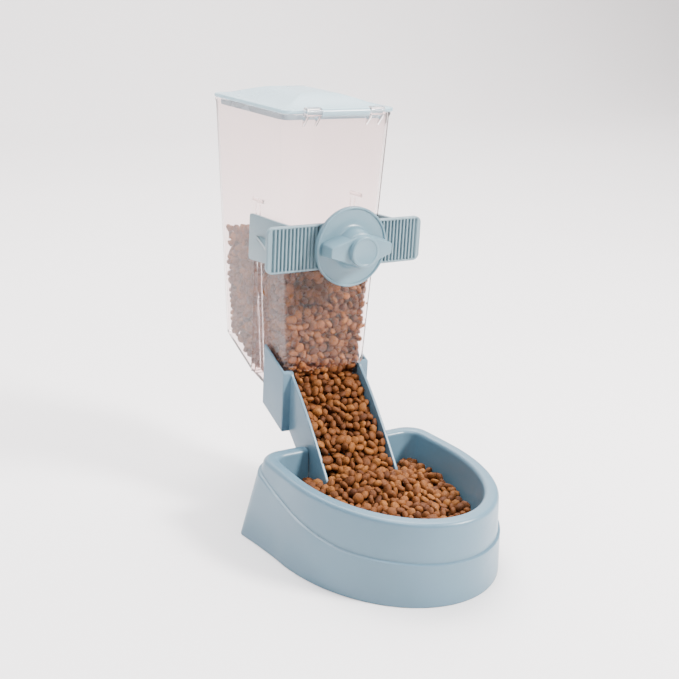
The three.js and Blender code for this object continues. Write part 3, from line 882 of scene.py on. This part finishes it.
def lid_grid():
    """Rings given by inset and height: crown, shoulder, edge, underside and the crown's hollow."""
    plate = 2.6
    crown = LID_TOP - LID_UNDER - plate
    top = LID_UNDER + plate
    turn = np.linspace(0, math.pi / 2, 5)
    rows = [(39.0, top + crown), (33, top + crown), (28, top + crown)]
    shoulder = np.linspace(0, 1, 14)[1:]
    fall = 0.65 * shoulder + 0.35 * shoulder ** 2 * (3 - 2 * shoulder)
    rows += [(28 - 24.5 * s, top + crown * (1 - f)) for s, f in zip(shoulder, fall)]
    rows += [(1.6, top)] + [(0.8 * (1 - math.sin(a)), top - 0.8 * (1 - math.cos(a))) for a in turn]
    rows += [(0.8 * (1 - math.cos(a)), LID_UNDER + 0.8 * (1 - math.sin(a))) for a in turn]
    rows += [(3.3, LID_UNDER), (3.4, LID_UNDER), (4.0, LID_UNDER), (5.6, LID_UNDER + 0.2)]
    rows += [(28 - 22.4 * s, LID_UNDER + crown * (1 - f))
             for s, f in zip(shoulder[::-1], fall[::-1])]
    rows += [(33, LID_UNDER + crown), (39.0, LID_UNDER + crown)]
    grids = []
    for depth, z in rows:
        radius = max(5 - depth / 4, 1.0)
        columns = ring_columns(radius, radius, np.linspace(0, 1, 12))
        x, y = ring(columns, LID_HALF - depth, LID_FRONT + depth, LID_REAR - depth)
        grids.append(np.column_stack([x, y, np.full(len(x), z)]))
    return np.array(grids)


def lid_lip():
    """A low wall inside the hopper's rim at the back and sides: one closed ring of four heights."""
    steps = np.linspace(0, 1, 12)
    out, inn = ring_columns(3, 3, steps), ring_columns(1.5, 1.5, steps)
    rows = []
    top, bottom = LID_UNDER - 0.05, LID_UNDER - 4
    for columns, grow, z in ((out, 0, top), (out, 0, bottom), (inn, -1.5, bottom), (inn, -1.5, top)):
        x, y = ring(columns, 36.4 + grow, HOPPER_FRONT + 6 - grow, 105.6 + grow)
        rows.append(np.column_stack([x, y, np.full(len(x), z)]))
    return np.array(rows)


def lid_shells():
    """Plate and lip, the turned hinge barrel and pin, and the web that joins them to the plate."""
    y, z = HINGE_Y, HINGE_Z
    barrel = [(0, -17.3), (2.4, -17.3), (2.8, -16.9), (2.8, 16.9), (2.4, 17.3), (0, 17.3)]
    pin = [(0, -27), (1.2, -27), (1.5, -26.7), (1.5, 26.7), (1.2, 27), (0, 27)]
    web = block((-17.2, y, z - 1.2), (17.2, LID_FRONT + 1.4, z + 1.2), 0.5, 0.3)
    return [(lid_grid(), "caps"), (lid_lip(), "ring"), (lathe(barrel, "x", (0, y, z), 36), "open"),
            (lathe(pin, "x", (0, y, z), 24), "open"), (web, "caps")]


build("lid_body", lid_shells(), lid_finish, "lid", "lid")


# %% [markdown]
# ## Feed pellets
#
# The feed is small baked discs about 6 mm across. Each pellet is the same grid of
# latitude and longitude with a flattened, slightly squared profile, scaled and
# turned at random. They start on a loose lattice inside the space they fill; then
# a few rounds of pushing neighbours apart settle them into a natural packing. Only
# the pellets near a wall or the top are kept, because the others are never seen; in
# the hopper a closed core stands for the rest, so no light shows between the pellets,
# and it takes the darkest pellet tone as painted shade of the hidden feed.
# Three heaps ride on three bodies, so they leave with the piece that holds them.

# %% Pellet finish
def feed_finish():
    """Baked crumb: a tone for each pellet, mottled with noise, matte and rough."""
    material, tree, shader, coords = start_material("feed_pellet")
    tone = tree.nodes.new("ShaderNodeAttribute")
    tone.attribute_name = "tone"
    base = ramp(tree, tone.outputs["Fac"], [(0.0, (0.075, 0.020, 0.004)),
                                            (0.45, (0.17, 0.051, 0.010)),
                                            (1.0, (0.32, 0.112, 0.022))])
    crumb = noise(tree, coords, 900, 4)
    speck = ramp(tree, crumb.outputs["Fac"], [(0.32, (0.62, 0.62, 0.62)), (0.62, (1, 1, 1))])
    mix = tree.nodes.new("ShaderNodeMix")
    mix.data_type, mix.blend_type = "RGBA", "MULTIPLY"
    mix.inputs["Factor"].default_value = 1.0
    tree.links.new(base.outputs["Color"], mix.inputs["A"])
    tree.links.new(speck.outputs["Color"], mix.inputs["B"])
    tree.links.new(mix.outputs["Result"], shader.inputs["Base Color"])
    shader.inputs["Roughness"].default_value = 0.66
    shader.inputs["Specular IOR Level"].default_value = 0.25
    bump(tree, shader, noise(tree, coords, 1300, 3).outputs["Fac"], 0.55, 0.5 * MM)
    return material


feed_material = feed_finish()


# %% Packing and building a heap
PELLET_R = 3.45  # radius of the lens before each pellet's own scale


def settle(points, spacing, confine, rounds=14):
    """Each pair nearer than spacing moves apart along its line; confine brings all back inside."""
    for _ in range(rounds):
        between = points[:, None, :] - points[None, :, :]
        distance = np.sqrt((between ** 2).sum(axis=2)) + np.eye(len(points)) * 1e3
        push = np.clip(spacing - distance, 0, None) / np.maximum(distance, 1e-3)
        points = confine(points + 0.28 * (between * push[:, :, None]).sum(axis=1))
    return points


def lattice(low, high, pitch, rng):
    """Staggered grid of points between two corners, each moved by a random share of the pitch."""
    axes = [np.arange(a, b, pitch) for a, b in zip(low, high)]
    x, y, z = np.meshgrid(*axes, indexing="ij")
    odd = (np.indices(x.shape)[2] % 2) * pitch / 2
    points = np.stack([x + odd, y + odd, z], axis=-1).reshape(-1, 3)
    return points + rng.uniform(-0.32, 0.32, points.shape) * pitch


def rotations(count, rng):
    """Random turns, from unit quaternions with four normal parts."""
    w, x, y, z = rng.normal(size=(count, 4)).T
    n = np.sqrt(w * w + x * x + y * y + z * z)
    w, x, y, z = w / n, x / n, y / n, z / n
    rows = [[1 - 2 * (y * y + z * z), 2 * (x * y - z * w), 2 * (x * z + y * w)],
            [2 * (x * y + z * w), 1 - 2 * (x * x + z * z), 2 * (y * z - x * w)],
            [2 * (x * z - y * w), 2 * (y * z + x * w), 1 - 2 * (x * x + y * y)]]
    return np.array(rows).transpose(2, 0, 1)


def heap(name, centres, body, rng, core=()):
    """All pellets at once: a squared-off lens grid, scaled, turned and moved to each centre."""
    rows, columns = 6, 9
    up, round_angle = np.linspace(-90, 90, rows), np.linspace(0, TAU, columns, endpoint=False)
    tilt = np.radians(up)[:, None]
    width = np.cos(tilt) ** 0.5
    lens = np.stack([width * np.cos(round_angle), width * np.sin(round_angle),
                     np.sin(tilt) + 0 * round_angle], axis=-1)
    count = len(centres)
    size = PELLET_R * rng.uniform(0.76, 1.14, (count, 1)) * np.column_stack(
        [rng.uniform(low, high, count) for low, high in ((0.92, 1.12), (0.78, 1.0), (0.42, 0.64))])
    dents = 1 + rng.uniform(-0.075, 0.075, (count, rows, columns, 1))
    shaped = lens[None] * size[:, None, None, :] * dents
    shaped[:, (0, -1)] = shaped[:, (0, -1)].mean(axis=2, keepdims=True)
    placed = np.einsum("nij,nrcj->nrci", rotations(count, rng), shaped) + centres[:, None, None, :]
    shells = [(grid, "open") for grid in placed] + [(grid, "caps") for grid in core]
    piece = build(name, shells, feed_material, body, sharp=80)
    # Points past the pellets, those of the core, keep tone 0, the darkest: painted shade of the hidden
    # feed.
    tones = np.zeros(len(piece.data.vertices), dtype=np.float32)
    each = (rows - 2) * columns + 2
    tones[:count * each] = np.repeat(rng.beta(2.2, 2.2, count), each)
    attribute = piece.data.attributes.new("tone", "FLOAT", "POINT")
    attribute.data.foreach_set("value", tones)


# %% Where the feed may be
PELLET = 3.0  # clearance of a pellet's centre from a wall
SPACING = 5.3  # least distance between two centres
CHUTE_FRONT, CHUTE_BACK = -34, 19  # the feed's ends on the slope


def floor_z(y):
    """Height of the floor's upper face at y."""
    return floor_under(y) + WALL


def fill_top(x, y):
    """The feed's level: it falls from the front pane to the rear, less along the left wall."""
    back = y - HOPPER_FRONT
    return 7.5 - 0.25 * back + 0.1 * back * np.clip((-x - 15) / 20, 0, 1)


def in_hopper(p):
    """Inside the tapered walls, above the sloping floor and below the fill line."""
    x, y, z = p.T
    z = np.clip(z, floor_z(y) + PELLET * 0.9, fill_top(x, y))
    half = half_at(z) - WALL - PELLET * 1.1
    x = np.clip(x, -half, half)
    front = np.where(z < GATE_Z, 23.0, HOPPER_FRONT + WALL + PELLET * 1.1)
    y = np.clip(y, front, rear_at(z) - WALL - PELLET)
    return np.column_stack([x, y, z])


# A closed core for the hidden feed; heap leaves it the darkest pellet tone, as painted shade.
def hopper_shade_core():
    """Middle of the heap: level sections 8 mm inside the walls, kept between floor and fill line."""
    z, inside = np.linspace(-104, 10, 24), 8
    half, rear = half_at(z) - WALL - inside, rear_at(z) - WALL - inside
    front = np.full_like(z, HOPPER_FRONT + WALL + inside)
    corners = [(-half, front), (half, front), (half, rear), (-half, rear)]
    x, y = np.moveaxis(soften(np.array(corners).transpose(2, 0, 1), 30, 8), -1, 0)
    level = np.clip(z[:, None], floor_z(y) + 6, fill_top(x, y) - 5)
    return np.stack([x, y, level], axis=-1)


def chute_surface(y):
    """Top of the feed on the slope: a little under the walls, nearly level with them in front."""
    stations = [CHUTE_FRONT, -31, -20, -8, 5.7, 15, 22]
    return np.interp(y, stations, [-145, -141, -127.5, -116, -104, -94, -90])


def in_chute(p):
    """Between the channel's walls, above its floor and below the feed's surface."""
    x, y, z = p.T
    y = np.clip(y, CHUTE_FRONT, CHUTE_BACK)
    under = chute_underside(np.linspace(0, 1, 40))[::-1]
    low = np.interp(y, under[:, 0], under[:, 1]) + 2.5 + PELLET
    z = np.clip(z, low, np.maximum(chute_surface(y) - PELLET * 0.6, low))
    half = CHUTE_HALF - CHUTE_WALL - PELLET * 0.9
    return np.column_stack([np.clip(x, -half, half), y, z])


def bowl_surface(x, y):
    """Level feed with a mound at the chute's mouth that spreads forwards."""
    mound = np.exp(-((x / 38) ** 2 + ((y + 34) / 27) ** 2))
    return -149.5 + 12.5 * mound + 1.0 * np.sin(x / 11.0) * np.cos(y / 13.0)


def in_bowl(p):
    """Inside the tub's leaning wall and half ellipse, in front of its back and of the chute."""
    x, y, z = p.T
    z = np.clip(z, TUB_FLOOR + PELLET, bowl_surface(x, y))
    room = (52.2 - TUB_DRAFT * (RIM_Z - z) / (RIM_Z - TUB_FLOOR)) - PELLET * 0.7
    reach = np.hypot(x / room, np.minimum(y - WIDEST_Y, 0) / (room + 24.5))
    scale = 1 / np.maximum(reach, 1)
    x, y = x * scale, np.where(y < WIDEST_Y, WIDEST_Y + (y - WIDEST_Y) * scale, y)
    y = np.minimum(y, np.where(np.abs(x) < 27.5 + PELLET, -35.5, -15.5))
    return np.column_stack([x, y, z])


def shell_only(points, depth, *limits):
    """The points whose distance to any of the limits is under depth."""
    return points[np.min(np.abs(np.stack(limits)), axis=0) < depth]


def started(low, high, pitch, confine, slack):
    """Lattice points that confine would move by less than the slack."""
    points = lattice(low, high, pitch, rng)
    return points[np.abs(points - confine(points)).sum(axis=1) < slack]


# %% The three heaps
rng = np.random.default_rng(7)
points = started((-35, 16, -106), (35, 108, 12), 5.5, in_hopper, 4.6)
x, y, z = points.T
points = shell_only(points, 8.5, half_at(z) - WALL - PELLET - np.abs(x),
                    y - HOPPER_FRONT - WALL - PELLET, rear_at(z) - WALL - PELLET - y,
                    z - fill_top(x, y), z - floor_z(y) - PELLET)
points = settle(points, SPACING, in_hopper, 8)
heap("food_in_hopper", points, "hopper", rng, core=[hopper_shade_core()])

points = started((-23, CHUTE_FRONT, -162), (23, CHUTE_BACK, -92), 4.9, in_chute, 3)
points = points[points[:, 2] > chute_surface(points[:, 1]) - 15]
heap("food_on_chute", settle(points, SPACING, in_chute), "chute", rng)

points = started((-52, -126, -164), (52, -15, -136), 5.4, in_bowl, 3)
points = points[points[:, 2] > bowl_surface(points[:, 0], points[:, 1]) - 12]
heap("food_in_bowl", settle(points, SPACING, in_bowl), "bowl", rng)


# %% [markdown]
# ## Floor, light and camera
#
# A pale sweep, flat in front and curving up behind, gives an even ground without a
# horizon. Four soft lamps light it: a smaller one from the front right shapes the
# bowl and the knob, a large one above and behind lights the feed through the clear
# walls, a cooler one from the left fills in, and a wide one far behind brightens
# only the sweep. A pale world keeps the shadows light. The camera has a 63.6 mm
# lens, three quarters of a metre away, and looks right, down and a little tilted.

# %% Studio
def sweep():
    """Floor that curves up into a wall: straight, a quarter circle, straight, carried along x."""
    turn = np.radians(np.linspace(-90, 0, 24))
    flat_y, curve_r, base = 1.6, 0.7, cad_box[0][2]
    y = np.concatenate([[-3.0, -1.5, 0.0], flat_y + curve_r * np.cos(turn), [flat_y + curve_r]])
    z = np.concatenate([[0, 0, 0], curve_r + curve_r * np.sin(turn), [3.2]]) + base
    x = np.linspace(-4, 4, 9)
    grid = np.stack(np.broadcast_arrays(x[None, :], y[:, None], z[:, None]), axis=-1)
    rows, columns = grid.shape[:2]
    index = np.arange(rows * columns).reshape(rows, columns)
    corners = [index[:-1, :-1], index[:-1, 1:], index[1:, 1:], index[1:, :-1]]
    faces = np.stack(corners, axis=-1).reshape(-1, 4).tolist()
    mesh = bpy.data.meshes.new("studio_sweep")
    mesh.from_pydata(grid.reshape(-1, 3).tolist(), [], faces)
    mesh.polygons.foreach_set("use_smooth", np.ones(len(mesh.polygons), dtype=bool))
    material, tree, shader, coords = start_material("sweep_paper")
    cloud = noise(tree, coords, 3)
    tint = ramp(tree, cloud.outputs["Fac"], [(0.3, (0.86, 0.825, 0.825)), (0.7, (0.88, 0.845, 0.845))])
    tree.links.new(tint.outputs["Color"], shader.inputs["Base Color"])
    shader.inputs["Roughness"].default_value = 0.9
    mesh.materials.append(material)
    floor = bpy.data.objects.new("studio_sweep", mesh)
    bpy.context.scene.collection.objects.link(floor)


def look_matrix(place, forward, roll):
    """Camera or lamp matrix: its -Z looks along forward, its X is level, then it rolls."""
    forward = np.array(forward) / np.linalg.norm(forward)
    right = np.cross(forward, [0, 0, 1.0])
    right /= np.linalg.norm(right)
    up = np.cross(right, forward)
    turned_right = math.cos(roll) * right + math.sin(roll) * up
    turned_up = -math.sin(roll) * right + math.cos(roll) * up
    matrix = np.eye(4)
    matrix[:3, :4] = np.column_stack([turned_right, turned_up, -forward, place])
    return Matrix(matrix.tolist())


def soft_light(name, place, target, size, power, colour):
    """A square area lamp aimed at a point."""
    lamp = bpy.data.lights.new(name, "AREA")
    lamp.shape, lamp.size, lamp.energy, lamp.color = "SQUARE", size, power, colour
    holder = bpy.data.objects.new(name, lamp)
    holder.matrix_world = look_matrix(place, np.array(target) - np.array(place), 0.0)
    bpy.context.scene.collection.objects.link(holder)


def camera():
    """The viewpoint: yaw, pitch and roll in degrees, place in metres."""
    yaw, pitch, roll = (math.radians(v) for v in (32.95, 17.42, 2.95))
    lens = bpy.data.cameras.new("camera")
    lens.lens, lens.sensor_width = 63.6, 36.0
    holder = bpy.data.objects.new("camera", lens)
    forward = (math.sin(yaw) * math.cos(pitch), math.cos(yaw) * math.cos(pitch), -math.sin(pitch))
    holder.matrix_world = look_matrix((-0.3975, -0.6092, 0.1668), forward, roll)
    bpy.context.scene.collection.objects.link(holder)
    bpy.context.scene.camera = holder


sweep()
soft_light("key_light", (0.75, -0.9, 0.8), (0, -0.03, -0.05), 0.32, 56, (1.0, 0.985, 0.965))
soft_light("top_light", (-0.1, 0.45, 1.2), (0, 0.02, 0), 1.0, 34, (1.0, 0.99, 0.98))
soft_light("sky_light", (-0.6, -0.45, 1.15), (0, -0.03, -0.05), 0.7, 17, (0.86, 0.93, 1.0))
soft_light("paper_light", (0.9, 1.2, 2.0), (0.9, 1.25, -0.2), 2.0, 110, (1.0, 0.98, 0.98))
world = bpy.data.worlds.new("studio")
world.use_nodes = True
sky = world.node_tree.nodes["Background"]
sky.inputs["Color"].default_value = (1.0, 0.985, 0.985, 1)
sky.inputs["Strength"].default_value = 0.4
bpy.context.scene.world = world
camera()
print("studio, lamps and camera placed")
